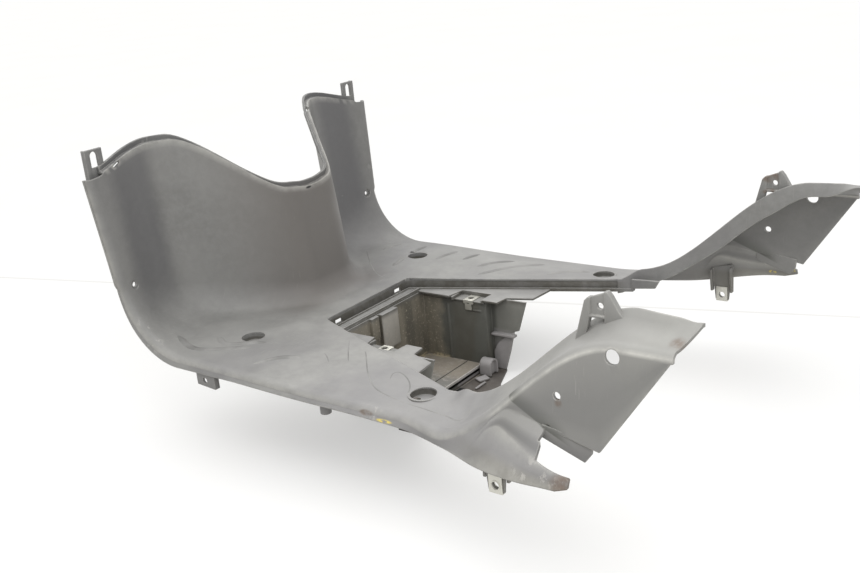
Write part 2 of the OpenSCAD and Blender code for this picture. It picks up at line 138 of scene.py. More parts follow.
def tongue_top_y(x):
    return mix(fold_y + 1, tongue_y - 5, smooth(root_x - 8, 175, x))


def tongue_top_z(x):
    t = min(1.0, max(0.0, (x - root_x) / (tongue_tip_x - root_x)))
    return mix(fold_z(root_x) - 2, 5.5, 1 - (1 - t) ** 1.6)


def panel_z(x):
    top = fold_z(x) - roll_r - 1 + 0.6 * smooth(240, arm_tip_x, x)
    if x < panel_corner_x:
        return min(top, mix(panel_low_z + 15, panel_low_z, (x - 113) / (panel_corner_x - 113)))
    return min(top, panel_low_z + (x - panel_corner_x) / panel_rake)


# Columns of one half: 0 is the middle plane, INNER the opening edge, FOLD the side edge, HALF the lip.
# Rows run from the top flange down the shield, round the bend and back to the arm tips.
INNER, FOLD, HALF = 5, 12, 18
PLAN = [0, 0.24, 0.46, 0.68, 0.95, 1]
SPREAD = [0, 0.13, 0.27, 0.42, 0.58, 0.75, 0.9, 1]
FACE, BEND, FRONT = 7, 6, 3
BEND_ROW = 2 + FACE
FLOOR_ROW = BEND_ROW + BEND
OPEN_ROW = FLOOR_ROW + FRONT
REAR = [open_x, -150, -100, -50, 0, 22, 40, 50, 60, 70, 80, 90, root_x, 108, 119, 130, 140, web_end_x,
        160, 170, tongue_tip_x, panel_corner_x, 205, 218, 232, 244, arm_tip_x]
LAST = OPEN_ROW + len(REAR) - 1
WALL_ROW, WEB_END, TONGUE_ROW = OPEN_ROW + 5, OPEN_ROW + 17, OPEN_ROW + 20
# Steps of the drawn skin in each row and column of the solids
FINER = 4


def front_y(j, edge):
    if j <= INNER:
        return float(np.interp(j, range(6), PLAN)) * open_half_w
    return mix(open_half_w, edge - roll_r, float(np.interp(j - INNER, range(8), SPREAD)))


def face_at(i, y):
    """Place and height on the flange, its step and the face, for whole rows 0, 1 and rows from 2."""
    if i <= 1:
        h = shield_top(y)
        return shield_line(y) - lean(y) * h - flange_step * flank(y), h + (flange_h if i == 0 else 0)
    t = (i - 2) / FACE
    z = mix(shield_top(y), bend_r(y) * (1 - math.sin(math.atan(lean(y)))), t)
    return shield_line(y) - lean(y) * z - 0.75 * flange_step * (flank(y) - 1) * (1 - smooth(0, 0.4, t)), z


def profile(i, y):
    if i < 2:
        k = int(i)
        a, b = face_at(k, y), face_at(k + 1, y)
        return mix(a[0], b[0], i - k), mix(a[1], b[1], i - k), 0.0
    if i <= BEND_ROW:
        return (*face_at(i, y), 0.0)
    if i <= FLOOR_ROW:
        t = (i - BEND_ROW) / BEND
        a = mix(math.atan(lean(y)), math.pi / 2, t)
        return bend_centre_x(y) - bend_r(y) * math.cos(a), bend_r(y) * (1 - math.sin(a)), t
    return mix(bend_centre_x(y), open_x, (i - FLOOR_ROW) / FRONT), 0.0, 1.0


def front_point(i, j):
    edge = mix(shield_half_w, floor_half_w + 2, max(0.0, i - 2) / FACE) if i <= BEND_ROW else floor_half_w
    y = front_y(j, edge) if j <= FOLD else edge - roll_r
    px, pz, turn = profile(i, y)
    a = max(0.0, min(2.0, j - FOLD)) * math.pi / 4
    past = max(0.0, j - FOLD - 2)
    lip = mix(shield_lip_h, lip_h, smooth(BEND_ROW - 2, FLOOR_ROW, i))
    down = roll_r * (1 - math.cos(a)) if past == 0 else mix(roll_r, lip, past / 4)
    out = (roll_r * math.sin(a) if j > FOLD else 0) + past * 0.6
    w = turn * math.pi / 2
    return [px - down * math.cos(w), y + out, pz + turn * (floor_z(y) + rise(px)) - down * math.sin(w)]


def arm_flat(x, t):
    inner_y = opening_y(x) if x < arm_x - 8 else crest_y(x)
    lift = smooth(22, arm_x + 2, x)
    steep = mix(mix(2.4, 3.2, smooth(60, 140, x)), 1.25, smooth(222, arm_tip_x, x))
    y = mix(inner_y, side_y(x) - roll_r, t)
    low = fold_z(x) + ((floor_z(y) - fold_z(x)) * (1 - smooth(30, 70, x)) if t < 1 else 0)
    z = low + (crest_z(x) - low) * lift * (1 - t) ** steep
    return np.array([x - 9 * t * smooth(205, arm_tip_x, x), y, z])


def arm_key(x, j):
    """Point of the arm or footboard strip at a whole column outside the fold."""
    e = arm_flat(x, 1)
    side = e + [0, roll_r, -roll_r]
    low = np.array([x, tongue_low_y(x), tongue_low_z(x)])
    pz = panel_z(x)
    panel_x = min(x, panel_corner_x + panel_rake * (pz - panel_low_z))
    panel = np.array([panel_x, side[1] + 0.09 * (side[2] - pz), pz])
    top = np.array([x, tongue_top_y(x), tongue_top_z(x)])
    k = smooth(80, 112, x)
    if j == FOLD + 2:
        return side
    if j == FOLD + 3:
        return mix(mix(side, low, 0.25), panel, k)
    if j == FOLD + 4:
        return mix(mix(side, low, 0.5), mix(panel, top, 0.5) + [0, 1.0, 0.4], k)
    if j == FOLD + 5:
        return mix(mix(side, low, 0.75), top, k)
    return low


def arm_point(x, j):
    if j <= INNER - 1:
        if j < INNER - 1:
            return [x, float(np.interp(j, range(6), PLAN)) * open_half_w, 0]
        drop = mix(12, 17, smooth(90, 135, x)) - 8 * smooth(175, 215, x) - 8.4 * smooth(222, arm_tip_x, x)
        return arm_flat(x, 0) - [0, 2.5 * smooth(40, 80, x) + 0.2, drop]
    if j < INNER:
        return mix(np.array(arm_point(x, INNER - 1)), arm_flat(x, 0), j - INNER + 1)
    if j <= FOLD:
        return arm_flat(x, float(np.interp(j - INNER, range(8), SPREAD)))
    if j <= FOLD + 2:
        a = (j - FOLD) * math.pi / 4
        return arm_flat(x, 1) + [0, roll_r * math.sin(a), -roll_r * (1 - math.cos(a))]
    k = min(HALF - 1, int(j))
    return mix(arm_key(x, k), arm_key(x, k + 1), j - k)


def half_point(i, j):
    if i <= OPEN_ROW - 1e-9 or (i <= OPEN_ROW and j < INNER):
        if i > OPEN_ROW - 1:
            a, b = np.array(front_point(OPEN_ROW - 1, j)), np.array(open_row_point(j))
            return mix(a, b, i - OPEN_ROW + 1)
        return np.array(front_point(i, j))
    x = float(np.interp(i - OPEN_ROW, range(len(REAR)), REAR))
    return np.array(arm_point(x, j)) + [0, 0, rise(x)]


def open_row_point(j):
    flat = [open_x, float(np.interp(j, range(6), PLAN)) * open_half_w, 0]
    return np.array(flat if j < INNER else arm_point(open_x, j)) + [0, 0, rise(open_x)]


def cell_on(i, h):
    """Whether the cell from row i and column h of one half belongs to the sheet."""
    if i < 2:
        return h < FOLD - 1
    if i < OPEN_ROW:
        return True
    if h < INNER - 1:
        return False
    if h == INNER - 1:
        return i >= WALL_ROW
    if h < FOLD + 3:
        return True
    if h < FOLD + 5:
        return i < WEB_END
    return i < TONGUE_ROW


def place(p):
    return (np.asarray(p, float) + BASE) / 1000.0


def build_sheet(k=FINER):
    """The skin as a grid of quads, k times finer than the solids, with both faces and its rim."""
    rows, half = LAST * k, HALF * k
    cols = 2 * half
    pts = np.zeros((rows + 1, cols + 1, 3))
    for i in range(rows + 1):
        for h in range(half + 1):
            p = half_point(i / k, h / k)
            pts[i, half + h] = p
            pts[i, half - h] = [p[0], -p[1], p[2]]
    on = np.zeros((rows + 2, cols + 2), bool)
    for i in range(rows):
        for h in range(half):
            on[i + 1, half + h + 1] = on[i + 1, half - h] = cell_on(i // k, h // k)
    cell = on[1:-1, 1:-1]
    n = np.cross(pts[1:, :-1] - pts[:-1, 1:], pts[1:, 1:] - pts[:-1, :-1])
    n /= np.maximum(np.linalg.norm(n, axis=2, keepdims=True), 1e-9)
    n[~cell] = 0
    total, count = np.zeros_like(pts), np.zeros(pts.shape[:2])
    for di in (0, 1):
        for dj in (0, 1):
            total[di:rows + di, dj:cols + dj] += n
            count[di:rows + di, dj:cols + dj] += cell
    unit = total / np.maximum(np.linalg.norm(total, axis=2, keepdims=True), 1e-9)
    f = np.zeros(pts.shape[:2])
    for di in (0, 1):
        for dj in (0, 1):
            f[di:rows + di, dj:cols + dj] += (n * unit[di:rows + di, dj:cols + dj]).sum(2)
    f = np.maximum(f / np.maximum(count, 1), 0.6)[..., None]
    top, bottom = pts + unit * skin_out / f, pts + unit * (skin_out - skin_t) / f
    used = count > 0
    index = -np.ones(pts.shape[:2], int)
    index[used] = np.arange(used.sum())
    m = int(used.sum())
    verts = np.vstack([place(top[used]), place(bottom[used])])
    faces = []
    for i in range(rows):
        for c in range(cols):
            if not cell[i, c]:
                continue
            p, q, r, s = index[i, c], index[i, c + 1], index[i + 1, c], index[i + 1, c + 1]
            faces += [(p, r, s, q), (p + m, q + m, s + m, r + m)]
            if not on[i, c + 1]:
                faces.append((p, q, q + m, p + m))
            if not on[i + 2, c + 1]:
                faces.append((s, r, r + m, s + m))
            if not on[i + 1, c]:
                faces.append((r, p, p + m, r + m))
            if not on[i + 1, c + 2]:
                faces.append((q, s, s + m, q + m))
    return verts, faces


def mark_points(k=FINER):
    """Places on the skin with how pale they are, for worn edges that also carry a painted highlight, and how
    dark, for painted shade.
    """
    out = []
    for i in range(LAST * k + 1):
        for h in range((FOLD - 2) * k, HALF * k + 1):
            r, c = i / k, h / k
            p = half_point(r, c)
            # Pale marks: worn folds, roll, lip and crease that also stand for highlights; dark marks: painted
            # shade on the web and panel
            arm = smooth(84, 118, p[0])
            fold = math.exp(-((c - FOLD - 1.5) / 0.3) ** 2) * arm * (c < FOLD + 2)
            roll = 0.5 * math.exp(-((c - FOLD - 1.6) / 0.6) ** 2) * (1 - smooth(60, 110, p[0])) * (r >= 2)
            lip = 0.4 * smooth(HALF - 0.6, HALF, c) * (p[0] < tongue_tip_x)
            crease = 0.5 * math.exp(-((c - FOLD - 5) / 0.25) ** 2) * arm
            web = arm * smooth(FOLD + 3.7, FOLD + 4.2, c) * (1 - smooth(FOLD + 4.5, FOLD + 5, c))
            panel = 0.55 * arm * smooth(FOLD + 2.1, FOLD + 2.4, c) * (1 - smooth(FOLD + 2.9, FOLD + 3.0, c))
            out.append((p, max(fold, roll, lip, crease), max(0.6 * web, panel)))
    # Top edge of the shield, pale as a worn edge and a painted highlight, with its flange in painted shade
    for h in range(FOLD * k):
        for i in range(4 * k):
            r = i / k
            pale = 0.7 * math.exp(-((r - 2) / 0.14) ** 2)
            out.append((half_point(r, h / k), pale, 1 - smooth(1.5, 1.9, r)))
    return out


def mark_skin(ob):
    marks = mark_points()
    kd = KDTree(len(marks))
    for k, mark in enumerate(marks):
        kd.insert(Vector(place(mark[0])), k)
    kd.balance()
    values = []
    for v in ob.data.vertices:
        _, k, dist = kd.find(Vector((v.co.x, abs(v.co.y), v.co.z)))
        values.append(marks[k][1:] if dist < 0.008 else (0.0, 0.0))
    for k, name in enumerate(("wear_and_painted_light", "shade")):
        ob.data.attributes.new(name, "FLOAT", "POINT").data.foreach_set("value", [v[k] for v in values])


def new_object(name, data):
    ob = bpy.data.objects.new(name, data)
    bpy.context.scene.collection.objects.link(ob)
    return ob


def mesh_object(name, verts, faces):
    me = bpy.data.meshes.new(name)
    me.from_pydata([tuple(v) for v in verts], [], faces)
    me.validate()
    return new_object(name, me)


def finish_mesh(ob, angle=32):
    me = ob.data
    me.polygons.foreach_set("use_smooth", [True] * len(me.polygons))
    me.set_sharp_from_angle(angle=math.radians(angle))
    me.update()


def apply_modifiers(ob):
    dg = bpy.context.evaluated_depsgraph_get()
    me = bpy.data.meshes.new_from_object(ob.evaluated_get(dg))
    ob.modifiers.clear()
    old = ob.data
    ob.data = me
    me.name = ob.name
    bpy.data.meshes.remove(old)


# Solids built from outlines, gathered in one bmesh per group
class Group:
    def __init__(self):
        self.bm = bmesh.new()

    def prism(self, outline, to_space, thick):
        """Extrudes an outline by thick; to_space turns (u, v, w) into layout x, y, z."""
        a, b = [[self.bm.verts.new(place(to_space(u, v, w))) for u, v in outline] for w in (0, thick)]
        made = [self.bm.faces.new(a), self.bm.faces.new(b[::-1])]
        n = len(outline)
        for i in range(n):
            j = (i + 1) % n
            made.append(self.bm.faces.new((a[j], a[i], b[i], b[j])))
        bmesh.ops.recalc_face_normals(self.bm, faces=made)

    def x_plate(self, x, thick, pts):
        self.prism(pts, lambda u, v, w: (x + w, u, v), thick)

    def y_plate(self, y, thick, pts):
        self.prism(pts, lambda u, v, w: (u, y + w, v), thick)

    def z_plate(self, z, thick, pts):
        self.prism(pts, lambda u, v, w: (u, v, z + w), thick)

    def block(self, low, high):
        (x0, y0, z0), (x1, y1, z1) = low, high
        self.z_plate(z0, z1 - z0, [(x0, y0), (x1, y0), (x1, y1), (x0, y1)])

    def cyl(self, centre, axis, r, length, n=40):
        """Cylinder from centre along an axis: x, y or z."""
        cx, cy, cz = centre
        ring = [(r * math.cos(2 * math.pi * k / n), r * math.sin(2 * math.pi * k / n)) for k in range(n)]
        to_space = {"x": lambda u, v, w: (cx + w, cy + u, cz + v),
                    "y": lambda u, v, w: (cx + v, cy + w, cz + u),
                    "z": lambda u, v, w: (cx + u, cy + v, cz + w)}[axis]
        self.prism(ring, to_space, length)

    def mirrored(self):
        """Adds the mirror image of everything so far about the middle plane."""
        geom = self.bm.verts[:] + self.bm.edges[:] + self.bm.faces[:]
        dup = bmesh.ops.duplicate(self.bm, geom=geom)["geom"]
        verts = [g for g in dup if isinstance(g, bmesh.types.BMVert)]
        for v in verts:
            v.co.y = -v.co.y
        faces = [g for g in dup if isinstance(g, bmesh.types.BMFace)]
        bmesh.ops.reverse_faces(self.bm, faces=faces)

    def object(self, name, bevel=0.0, angle=30):
        me = bpy.data.meshes.new(name)
        self.bm.to_mesh(me)
        self.bm.free()
        ob = new_object(name, me)
        if bevel:
            mod = ob.modifiers.new("edge", "BEVEL")
            mod.width = bevel / 1000
            mod.segments = 2
            mod.limit_method = "ANGLE"
            mod.angle_limit = math.radians(35)
            mod.harden_normals = False
            apply_modifiers(ob)
        finish_mesh(ob, angle)
        return ob


def cut(ob, cutter, solver="MANIFOLD"):
    """Takes the cutter out of the object and drops it."""
    mod = ob.modifiers.new("cut", "BOOLEAN")
    mod.operation, mod.object, mod.solver = "DIFFERENCE", cutter, solver
    mod.use_self = solver == "EXACT"
    apply_modifiers(ob)
    me = cutter.data
    bpy.data.objects.remove(cutter)
    bpy.data.meshes.remove(me)


def drilled(ob, holes, both_sides=True):
    """Cuts a group of holes out of an object whose own solids overlap."""
    if both_sides:
        holes.mirrored()
    cut(ob, holes.object(ob.name + "_cutter"), "EXACT")
    finish_mesh(ob)
    return ob


# Skin with its recesses and holes
RECESSES, RECESS_R = ((0, 162), (-228, 135)), 11.5
SCREW_Y, SCREW_Z = 181, 60


def top_slots(g):
    """Sheared slots near the top of the shield: through the near flange's step and through the far flange."""
    x, z = face_at(1, 167)
    g.prism([(8, 3.4), (8, 1.2), (-18, -4.6), (-18, -2.4)],
            lambda u, v, w: (x + 3 + u, -171.5 + w, z - 1.4 + v + 0.45 * (w - 4.5)), 9)
    g.prism([(0, -1.7), (12, -1.7), (12, 1.7), (0, 1.7)],
            lambda u, v, w: (-346 + w, 80.5 + u, 174.6 + 0.7 * u + v), 16.5)


def tongue_ends(g):
    """Chamfered tongue ends and the stepped end of the web."""
    for side, y0 in ((-1, -245), (1, 215)):
        g.y_plate(y0, 30, [(158, -7.5), (186, -7.5), (186, 1.5), (179.5, -0.8)])
        g.y_plate(y0, 30, [(173, 9.8), (186, 9.8), (186, 2.2), (180.4, 4.4)])
        g.z_plate(14, 16, [(153, side * 212), (153, side * 223.5), (147.2, side * 222), (150.3, side * 212)])


def floorboard_skin():
    skin = mesh_object("floorboard_skin", *build_sheet())
    screw_x = shield_line(SCREW_Y) - lean(SCREW_Y) * SCREW_Z + skin_out
    g = Group()
    for x, y in RECESSES:
        g.cyl((x, y, rise(x) - 5), "z", RECESS_R, 14)
    g.cyl((screw_x - 0.9, SCREW_Y, SCREW_Z), "x", 5.2, 12)
    g.cyl((159, 195, 53.3), "y", 3.0, 30)
    g.cyl((202, 195, 89.6), "y", 5.5, 30)
    g.mirrored()
    top_slots(g)
    tongue_ends(g)
    cut(skin, g.object("cutters"))
    g = Group()
    g.cyl((screw_x - 20, SCREW_Y, SCREW_Z), "x", 2.25, 40)
    g.mirrored()
    cut(skin, g.object("screw_cutters"))
    finish_mesh(skin)
    mark_skin(skin)
    return skin


def ray_tree(ob):
    bm = bmesh.new()
    bm.from_mesh(ob.data)
    rays = BVHTree.FromBMesh(bm)
    bm.free()
    return rays


skin = floorboard_skin()
skin_rays = ray_tree(skin)


# Low ridges and fine lines on the tread, laid on the skin
def surface(x, y):
    hit = skin_rays.ray_cast(Vector(place((x, y, 60))), Vector((0, 0, -1)), 0.2)[0]
    return None if hit is None else hit.z * 1000 - BASE[2]


def through(points, spacing=3):
    """Smooth line through the points."""
    q = [np.array(p, float) for p in points]
    q = [2 * q[0] - q[1]] + q + [2 * q[-1] - q[-2]]
    line = []
    for a, b, c, d in zip(q, q[1:], q[2:], q[3:]):
        bend, twist = 2 * a - 5 * b + 4 * c - d, 3 * b - a - 3 * c + d
        for t in np.linspace(0, 1, max(3, int(np.linalg.norm(c - b) / spacing)), endpoint=False):
            line.append(0.5 * (2 * b + (c - a) * t + bend * t * t + twist * t ** 3))
    return np.array(line + [q[-2]])


def ridge(g, points, width, height):
    """Ribbon with a rounded section that follows a smooth line on the skin."""
    line = through(points)
    way = np.gradient(line, axis=0)
    way /= np.maximum(np.linalg.norm(way, axis=1, keepdims=True), 1e-9)
    across = np.stack([-way[:, 1], way[:, 0]], 1)
    rows = []
    for k, (c, n) in enumerate(zip(line, across)):
        end = math.sin(min(1.0, min(k, len(line) - 1 - k) / 3) * math.pi / 2)
        row = []
        for u in np.linspace(-1, 1, 7):
            x, y = c + n * u * width / 2 * (0.35 + 0.65 * end)
            z = surface(x, y)
            if z is None:
                row = None
                break
            row.append(g.bm.verts.new(place((x, y, z - 0.06 + (height * end + 0.06) * (1 - u * u)))))
        rows.append(row)
    for a, b in zip(rows, rows[1:]):
        if a and b:
            for u in range(6):
                g.bm.faces.new((a[u], b[u], b[u + 1], a[u + 1]))


def tread_marks(name, routes, width, height):
    g = Group()
    for points in routes:
        ridge(g, points, width, height)
    return g.object(name, angle=80)


RIDGES = (((-282, 138), (-280, 172)),
          ((-232, 93), (-240, 135), (-245, 176)),
          ((-200, 132), (-197, 173)),
          ((-170, 144), (-168, 176)),
          ((-142, 131), (-130, 152), (-115, 168)),
          ((-126, 109), (-104, 145), (-77, 171)),
          ((-55, 136), (-40, 154), (-18, 165)),
          ((-300, -168), (-260, -177), (-212, -155)),
          ((-262, -150), (-240, -158), (-205, -140)),
          ((-185, -178), (-170, -160), (-150, -150)))
LINES = (((-300, 128), (-263, 90), (-233, 64), (-215, 56)),
         ((-104, -113), (-96, -121), (-70, -150), (-45, -170), (-13, -179)),
         ((-13, -179), (33, -184), (55, -190), (61, -186), (58, -178)),
         ((-43, -153), (-47.5, -143), (-45, -138), (-36, -141), (-24, -150), (-16, -160), (-13, -167)),
         ((-134, -100), (-120, -118), (-103, -138)),
         ((-137, -133), (-128, -139), (-118, -148)))
ridges = tread_marks("tread_ridges", RIDGES, 7.0, 1.3)
lines = tread_marks("tread_lines", LINES, 1.5, 0.22)

# Rim of the opening
LEDGE_W, SIDE_W, RIM = 17.0, 3.5, 8.0


def u_path(inset, end_x):
    side = inset * 1.07
    return [(end_x, -opening_y(end_x) + side), (open_x + inset, -opening_y(open_x + inset) + side),
            (open_x + inset, opening_y(open_x + inset) - side), (end_x, opening_y(end_x) - side)]


def u_band(g, z, thick, out, inn, end_x):
    g.z_plate(z, thick, u_path(out, end_x) + u_path(inn, end_x)[::-1])


def rounded_corner(g, s, reach=6.0):
    """Rounded front corner of the opening, flush with the tread."""
    far = opening_y(open_x + reach)
    arc = [(open_x + reach * (1 - math.cos(t)), s * (far - reach * (1 - math.sin(t)) - 0.2))
           for t in np.linspace(0, 1.45, 8)]
    start = [(open_x - 0.4, s * 67.4), (open_x - 0.4, s * (far - reach))]
    g.z_plate(-7.5, 11.6, start + arc + [(open_x + reach, s * (far + 0.4))])


def opening_rim():
    ledge_x, under = open_x + LEDGE_W, -RIM - 2.2
    g = Group()
    u_band(g, -open_wall_h - 1, open_wall_h + 3.1, -2.7, -0.3, 27)
    u_band(g, under, 2.2, -1.5, SIDE_W, 38)
    g.z_plate(under, 2.2, [(open_x - 1, -64), (ledge_x, -69), (ledge_x, 69), (open_x - 1, 64)])
    u_band(g, -RIM - 0.5, 2.3, SIDE_W - 1, SIDE_W + 0.2, 38)
    for x0, x1, y, thick in ((-177.6, -175.2, 68, 4.4), (-181.5, -180.3, 66, 3.2)):
        g.z_plate(-RIM - 2, thick, [(x0, -y), (x1, -y), (x1, y), (x0, y)])
    for s in (-1, 1):
        rounded_corner(g, s)
    windows = Group()
    windows.block((open_x - 6, 43.5, -7.0), (open_x + 1, 54.5, -2.4))
    return drilled(g.object("opening_rim", 0.35), windows)


def box_seats():
    """Seats of the two upper clip nuts, with the shelves round them."""
    z = -RIM - 2.2
    g = Group()
    g.z_plate(z + 0.2, 2.3, [(-180, 63), (-134, 63), (-130, 84), (-93, 84), (-93, 65), (-74, 65), (-72, 81),
                             (-45, 90), (-42, opening_y(-42) - 1), (-180, opening_y(-180) - 1)])
    g.z_plate(-14.7, 2.2, [(-132, 68.8), (-95, 68.8), (-95, 86.2), (-132, 86.2)])
    g.y_plate(84, 2.4, [(-131, -13.5), (-94, -13.5), (-94, z + 1), (-131, z + 1)])
    for x, y in ((-133, 65), (-96, 67)):
        g.x_plate(x, 2.2, [(y, -13.5), (86, -13.5), (86, z + 1), (y, z + 1)])
    g.mirrored()
    holes = Group()
    holes.cyl((-113, 74.5, -20), "z", 3.5, 12)
    return drilled(g.object("box_seats", 0.4), holes)


# Battery box: half widths of its front and rear parts, places of its walls, and depths
BOX_W, BOX_V, BOX_X, BOX_STEP_X, BOX_FLOOR_X, BOX_REAR_X = 70.0, 80.0, -174.0, -94.4, -98.0, -78.0
BOX_D, BASE_D, BT = 84.0, 93.0, 2.4


def half_round(y, z, r, n=15):
    return [(y + r * math.cos(t), z + r * math.sin(t)) for t in np.linspace(0, math.pi, n)]


def box_sides(g):
    """One side of the box, with its stay and the arched boss at its foot."""
    low, top, w, v, sx, fx = -BASE_D, -RIM - 1.5, BOX_W, BOX_V, BOX_STEP_X, BOX_FLOOR_X + 3
    g.y_plate(w, BT, [(BOX_X - 1, -15), (sx + 1, -15), (sx + 1, low), (BOX_X - 1, low)])
    g.y_plate(w, BT, [(BOX_X - 1, top), (-131.5, top), (-131.5, -14.5), (BOX_X - 1, -14.5)])
    g.y_plate(v, BT, [(sx + 1, top), (-48, top), (-59, -43), (-65, -45), (-71, -68),
                      (-79, low + 0.5), (sx + 1, low + 0.5)])
    g.block((sx, w + 0.5, low + 0.5), (sx + BT, v + 2, top))
    g.block((-90, v - 6, -50), (-62, v + 1, -47.4))
    arch, hollow = half_round(w - 8, -BOX_D + 5, 7.4), half_round(w - 8, -BOX_D + 5, 5.4)
    g.x_plate(fx, 14, [(w - 0.6, -90)] + arch + [(w - 15.4, -90), (w - 13.4, -90)]
              + hollow[::-1] + [(w - 2.6, -90)])
    g.x_plate(fx, 11, [(w - 2.8, -90)] + hollow + [(w - 13.2, -90)])
    g.y_plate(v - 2.2, 1.6, [(-91, -90), (-91, -71), (-85, -60), (-75, -51), (-63.5, -44.5),
                             (-70, -68), (-78, -92)])


def box_details(g):
    """Ribs, lip and small plates seen inside."""
    w, on_base = BOX_W, BT - BASE_D
    g.y_plate(w - 0.9, 1.4, [(-143, -20), (-140, -20), (-140, -83.5), (-143, -83.5)])
    g.y_plate(w - 0.9, 1.4, [(-112, -22), (-98, -22), (-98, -24), (-112, -24)])
    g.z_plate(on_base, 3.2, [(-93, 42), (-88, 54), (-79, 49), (-84, 38)])
    g.block((-80, 22, on_base), (-77.5, 40, on_base + 2.6))
    g.block((-99.6, -66, -BOX_D - 1), (-98, 66, -BOX_D + 3.4))
    g.block((-122.5, -69, -84.5), (-120.5, 69, -83))


def battery_box():
    low, top, w, v = -BASE_D, -RIM - 1.5, BOX_W, BOX_V
    g = Group()
    box_sides(g)
    g.mirrored()
    g.block((BOX_X - BT, -w - 2, low), (BOX_X, w + 2, top))
    g.z_plate(low, BT, [(BOX_FLOOR_X - BT, -v - 2), (BOX_REAR_X, -v - 2), (-66, -50), (-56, -34),
                        (-56, 34), (-66, 50), (BOX_REAR_X, v + 2), (BOX_FLOOR_X - BT, v + 2)])
    g.block((BOX_X - 1, -w - 1, -BOX_D - 2.4), (BOX_FLOOR_X, w + 1, -BOX_D))
    g.block((BOX_FLOOR_X - BT, -w - 1, low + 1), (BOX_FLOOR_X, w + 1, -BOX_D + 1.2))
    g.block((BOX_X - 1, -24, -34), (BOX_X + 4, -12, top))
    g.block((BOX_X - 1, -9, -50), (BOX_X + 6, 17, top))
    box_details(g)
    return g.object("battery_box", 0.4)


# Tabs and peg, with the places of their holes
TAB_Y, LIP_Y = shield_half_w - 17.5, floor_half_w + 0.6
ARM_TAB = (177.0, arm_y + 5.2, arm_top_z + 1.8)


def top_tab(g, slot_r=4.2):
    """Slotted tab on top of the shield."""
    y = TAB_Y
    h = shield_top(y) + flange_h
    x = shield_line(y) - lean(y) * h - flange_step - 3
    g.x_plate(x, 3, [(y - 10, h - 16), (y - slot_r, h - 16), (y - slot_r, h + 1)]
              + half_round(y, h + 10.6, slot_r, 13)[::-1]
              + [(y + slot_r, h + 1), (y + slot_r, h - 16), (y + 10, h - 16),
                 (y + 10, h + 17), (y - 10, h + 17)])
    g.block((x + 0.2, y - 4.6, h - 15.9), (x + 2.9, y + 4.6, h - 0.6))
    g.block((x - 2.4, y + 7.8, h - 16), (x + 1, y + 10, h + 17))
    g.block((x + 2, y - 10, h - 16), (x + 7, y + 10, h - 13))


def lower_tabs(g):
    """Front tab under the lip, and the channel-shaped side tab that holds a clip nut."""
    g.y_plate(LIP_Y, 2.6, [(-243, -8), (-243, -22), (-219, -24), (-219, -8)])
    g.block((-221.4, LIP_Y - 3.4, -24), (-219, LIP_Y + 2.4, -7))
    g.y_plate(218.7, 2.6, [(97.5, 4), (118.7, 8), (115, -31.5), (101, -31.5)])
    for x, z in ((96.5, 2), (117.4, 6)):
        g.x_plate(x, 2.4, [(213, z), (221, z), (221, -22), (216, -22)])


def arm_tab(g):
    """Upright tab beside the arm: a thin web between two stiffer legs."""
    x, y, z = ARM_TAB
    g.y_plate(y - 1.2, 2.4, [(x - 11, z - 9), (x + 6, z - 9), (x + 6, z + 11), (x - 10, z + 5)])
    g.y_plate(y - 2.6, 5.2, [(x - 21, z - 29.5), (x - 12, z + 3), (x - 9.5, z + 5.5), (x - 7, z + 6),
                             (x - 8, z - 8), (x - 12, z - 23.5)])
    g.y_plate(y - 2.6, 5.2, [(x + 3.5, z - 13), (x + 3.5, z + 11), (x + 6, z + 11.6), (x + 9, z + 8),
                             (x + 16, z - 4), (x + 19, z - 6)])
    g.block((x - 9, y - 2.6, z - 9), (x + 4, y + 2.6, z - 7))


def tabs_and_peg():
    x, y, z = ARM_TAB
    g = Group()
    top_tab(g)
    lower_tabs(g)
    arm_tab(g)
    # Plate under each panel, plate inside each arm root, and the peg
    g.y_plate(fold_y + 4.4, 2.4, [(147, 30), (187, 24), (186, 15), (180.3, 7.4), (146, 19.7)])
    g.y_plate(150, 2.4, [(38, 4.5), (69, 6), (64, -2.5), (38, -6)])
    g.cyl((-88, floor_half_w - 6, -23), "z", 5, 19.4)
    g.mirrored()
    holes = Group()
    holes.cyl((-232, LIP_Y - 6, -16.8), "y", 3, 12)
    holes.cyl((108, 210, -26), "y", 3.5, 20)
    holes.cyl((x, y - 5, z), "y", 2.5, 10)
    return drilled(g.object("tabs", 0.35), holes)


# Cups below the foot recesses
def cup(g, x, y, depth=7.4, n=48):
    up = rise(x)
    ring = [(x + r * math.cos(2 * math.pi * k / n), y + r * math.sin(2 * math.pi * k / n))
            for r in (RECESS_R, RECESS_R + 2) for k in range(n)]
    a, b = [[g.bm.verts.new(place((px, py, z))) for px, py in ring] for z in (up - depth, up + 1.0)]
    made = []
    for k in range(n):
        j = (k + 1) % n
        made.append(g.bm.faces.new((a[k], a[j], b[j], b[k])))
        made.append(g.bm.faces.new((a[n + j], a[n + k], b[n + k], b[n + j])))
        made.append(g.bm.faces.new((b[k], b[j], b[n + j], b[n + k])))
        made.append(g.bm.faces.new((a[j], a[k], a[n + k], a[n + j])))
    bmesh.ops.recalc_face_normals(g.bm, faces=made)
    g.cyl((x, y, up - depth), "z", RECESS_R + 1, 2.4, n=48)


def recess_cups():
    g, holes = Group(), Group()
    for x, y in RECESSES:
        cup(g, x, y)
        holes.cyl((x - 6, y, -12), "z", 2.1, 10)
    g.mirrored()
    return drilled(g.object("recess_cups"), holes)


